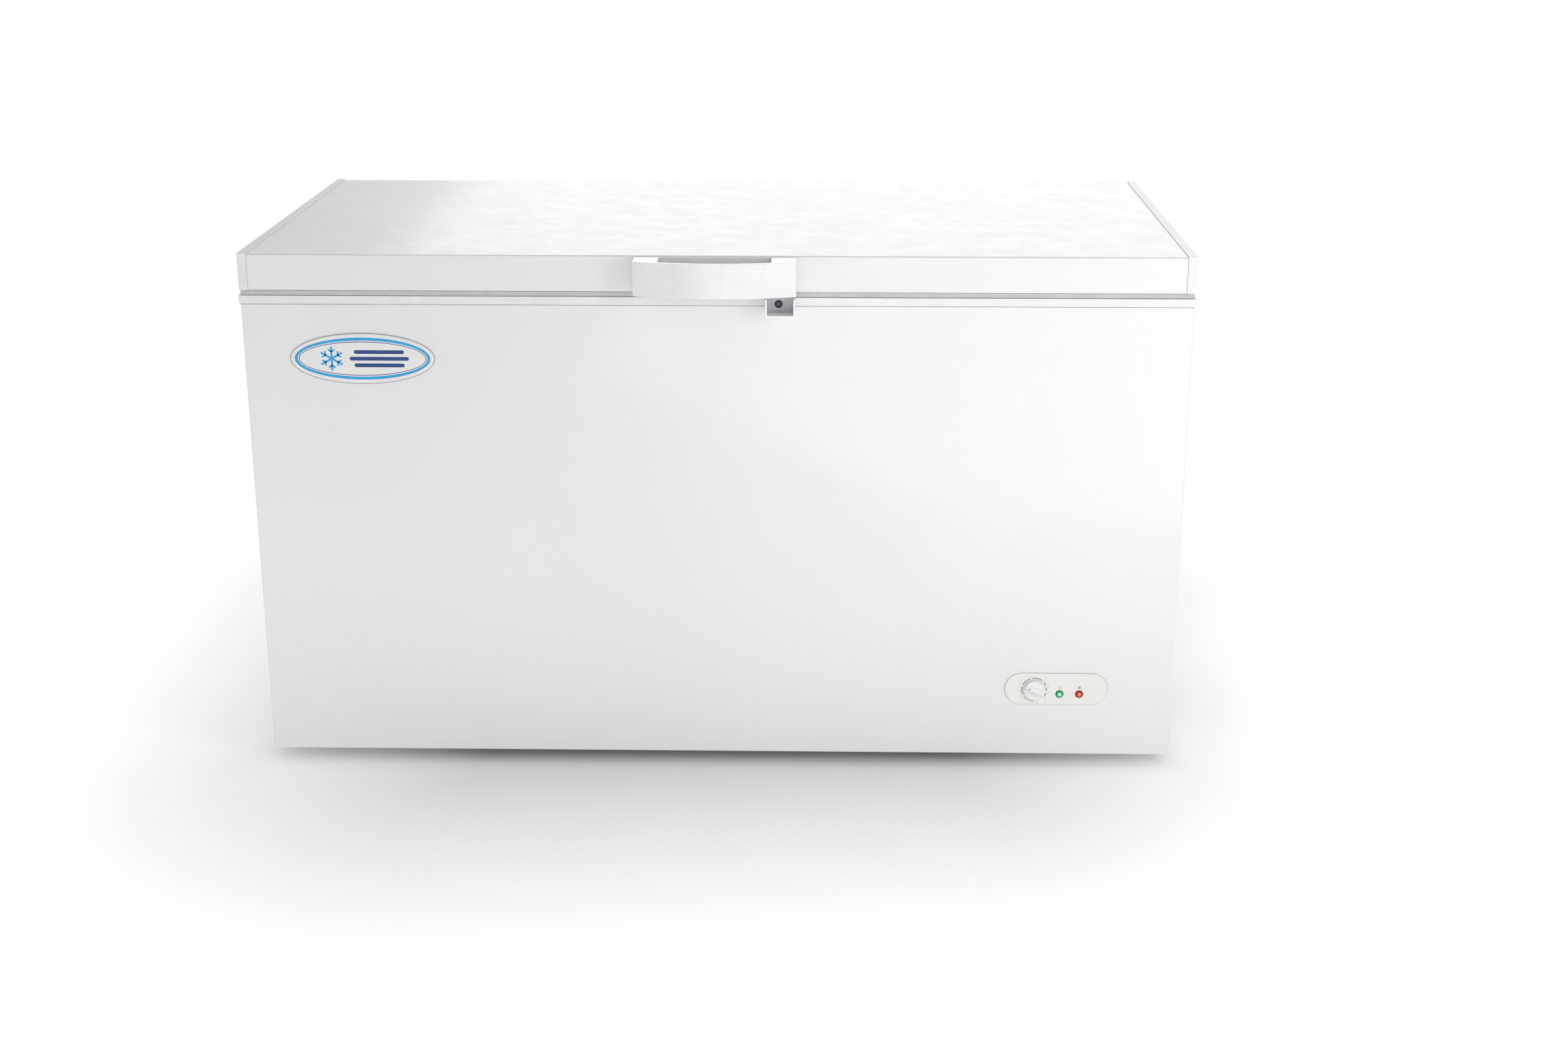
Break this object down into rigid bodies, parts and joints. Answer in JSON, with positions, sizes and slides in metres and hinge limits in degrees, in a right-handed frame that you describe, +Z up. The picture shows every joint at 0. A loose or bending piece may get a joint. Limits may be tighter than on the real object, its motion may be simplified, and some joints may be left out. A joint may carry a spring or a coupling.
{
  "type": "chest freezer",
  "caption": "White chest freezer with a top-opening insulated lid, bow handle, lock, hanging baskets, thermostat dial and compressor compartment.",
  "frame": {"origin": "on the floor, under the middle of the freezer's overall box", "axes": "+X to the right seen from the front, +Y to the back, +Z up"},
  "size_m": [1.4708, 0.812, 0.84],
  "materials": {
    "white_steel": "gloss white coat",
    "white_plastic": "gloss",
    "ivory_plastic": "satin",
    "knob_plastic": "satin",
    "badge_plastic": "gloss with printed marks",
    "grey_plastic": "satin",
    "black_plastic": "matte",
    "black_rubber": "matte",
    "grey_gasket": "satin",
    "zinc_steel": "zinc plated",
    "black_steel": "satin black",
    "white_aluminium": "embossed, white coated",
    "coil_aluminium": "drawn",
    "copper_tube": "drawn copper",
    "lock_metal": "plated",
    "spring_steel": "plain",
    "coated_wire": "white plastic coated wire",
    "green_lens": "translucent",
    "red_lens": "translucent",
    "foam": "rigid polyurethane foam"
  },
  "bodies": {
    "cabinet": {"outer_shell": "white_steel", "rear_panel": "white_steel", "base_tray": "zinc_steel", "cabinet_foam": "foam", "inner_liner": "white_aluminium", "top_frame": "white_plastic", "machine_partition": "zinc_steel", "evaporator_coil": "coil_aluminium", "condenser_coil": "copper_tube", "compressor": "black_steel", "compressor_plate": "zinc_steel", "compressor_grommets": "black_rubber", "compressor_bolts": "zinc_steel", "relay_cover": "black_plastic", "filter_dryer": "copper_tube", "refrigerant_tubes": "copper_tube", "side_grille": "white_plastic", "rear_cover": "zinc_steel", "cord_gland": "black_rubber", "control_panel": "ivory_plastic", "thermostat_body": "grey_plastic", "power_lamp": "green_lens", "run_lamp": "red_lens", "badge": "badge_plastic", "lock_housing": "white_plastic", "lock_plate": "grey_plastic", "drain_tube": "grey_plastic", "foot_nuts": "zinc_steel", "cabinet_screws": "zinc_steel", "hinge_pins": "lock_metal", "hinge_base_left": "zinc_steel", "hinge_base_right": "zinc_steel", "hinge_spring_left": "spring_steel", "hinge_spring_right": "spring_steel", "hinge_cover_left": "white_plastic", "hinge_cover_right": "white_plastic"},
    "lid": {"lid_panel": "white_steel", "lid_cap_left": "white_plastic", "lid_cap_right": "white_plastic", "lid_foam": "foam", "lid_liner": "white_aluminium", "lid_gasket": "grey_gasket", "handle": "white_plastic", "lid_screws": "zinc_steel", "hinge_arm_left": "zinc_steel", "hinge_arm_right": "zinc_steel", "lock_striker": "lock_metal"},
    "thermostat_knob": {"thermostat_knob": "knob_plastic"},
    "lock_barrel": {"lock_cylinder": "lock_metal", "lock_pawl": "lock_metal"},
    "plunger_left": {"hinge_plunger_left": "black_plastic"},
    "plunger_right": {"hinge_plunger_right": "black_plastic"},
    "drain_plug": {"drain_plug": "white_plastic"},
    "drain_cap": {"drain_cap": "white_plastic"},
    "basket_left": {"basket_left": "coated_wire"},
    "basket_right": {"basket_right": "coated_wire"},
    "foot_front_left": {"foot_front_left": "black_plastic"},
    "foot_front_right": {"foot_front_right": "black_plastic"},
    "foot_rear_left": {"foot_rear_left": "black_plastic"},
    "foot_rear_right": {"foot_rear_right": "black_plastic"}
  },
  "joints": [
    {"name": "lid_hinge", "type": "hinge", "parent": "cabinet", "child": "lid", "pos_m": [0, 0.397, 0.77], "axis": [-1, 0, 0], "range_deg": [0, 80]},
    {"name": "thermostat_turn", "type": "hinge", "parent": "cabinet", "child": "thermostat_knob", "pos_m": [0.5088, -0.353, 0.1324], "axis": [0, -1, 0], "range_deg": [-195, 128.5]},
    {"name": "lock_turn", "type": "hinge", "parent": "cabinet", "child": "lock_barrel", "pos_m": [0.0964, -0.353, 0.766], "axis": [0, -1, 0], "range_deg": [0, 90]},
    {"name": "plunger_slide_left", "type": "slide", "parent": "cabinet", "child": "plunger_left", "axis": [0, 0, 1], "range_m": [0, 0.008], "deforming": ["hinge_spring_left"]},
    {"name": "plunger_slide_right", "type": "slide", "parent": "cabinet", "child": "plunger_right", "axis": [0, 0, 1], "range_m": [0, 0.008], "deforming": ["hinge_spring_right"]},
    {"name": "drain_plug_pull", "type": "slide", "parent": "cabinet", "child": "drain_plug", "axis": [0, 0, 1], "range_m": [0, 0.04]},
    {"name": "drain_cap_pull", "type": "slide", "parent": "cabinet", "child": "drain_cap", "axis": [0, 1, 0], "range_m": [0, 0.03]},
    {"name": "basket_slide_left", "type": "slide", "parent": "cabinet", "child": "basket_left", "axis": [1, 0, 0], "range_m": [0, 0.3]},
    {"name": "basket_slide_right", "type": "slide", "parent": "cabinet", "child": "basket_right", "axis": [1, 0, 0], "range_m": [-0.3, 0]},
    {"name": "foot_turn_front_left", "type": "hinge", "parent": "cabinet", "child": "foot_front_left", "pos_m": [-0.64, -0.263, 0.01], "axis": [0, 0, 1], "range_deg": [-180, 180]},
    {"name": "foot_turn_front_right", "type": "hinge", "parent": "cabinet", "child": "foot_front_right", "pos_m": [0.64, -0.263, 0.01], "axis": [0, 0, 1], "range_deg": [-180, 180]},
    {"name": "foot_turn_rear_left", "type": "hinge", "parent": "cabinet", "child": "foot_rear_left", "pos_m": [-0.64, 0.32, 0.01], "axis": [0, 0, 1], "range_deg": [-180, 180]},
    {"name": "foot_turn_rear_right", "type": "hinge", "parent": "cabinet", "child": "foot_rear_right", "pos_m": [0.64, 0.32, 0.01], "axis": [0, 0, 1], "range_deg": [-180, 180]}
  ],
  "couplings": [
    {"joint": "plunger_slide_left", "follows": "lid_hinge", "m_per_rad": 0.005},
    {"joint": "plunger_slide_right", "follows": "lid_hinge", "m_per_rad": 0.005}
  ]
}
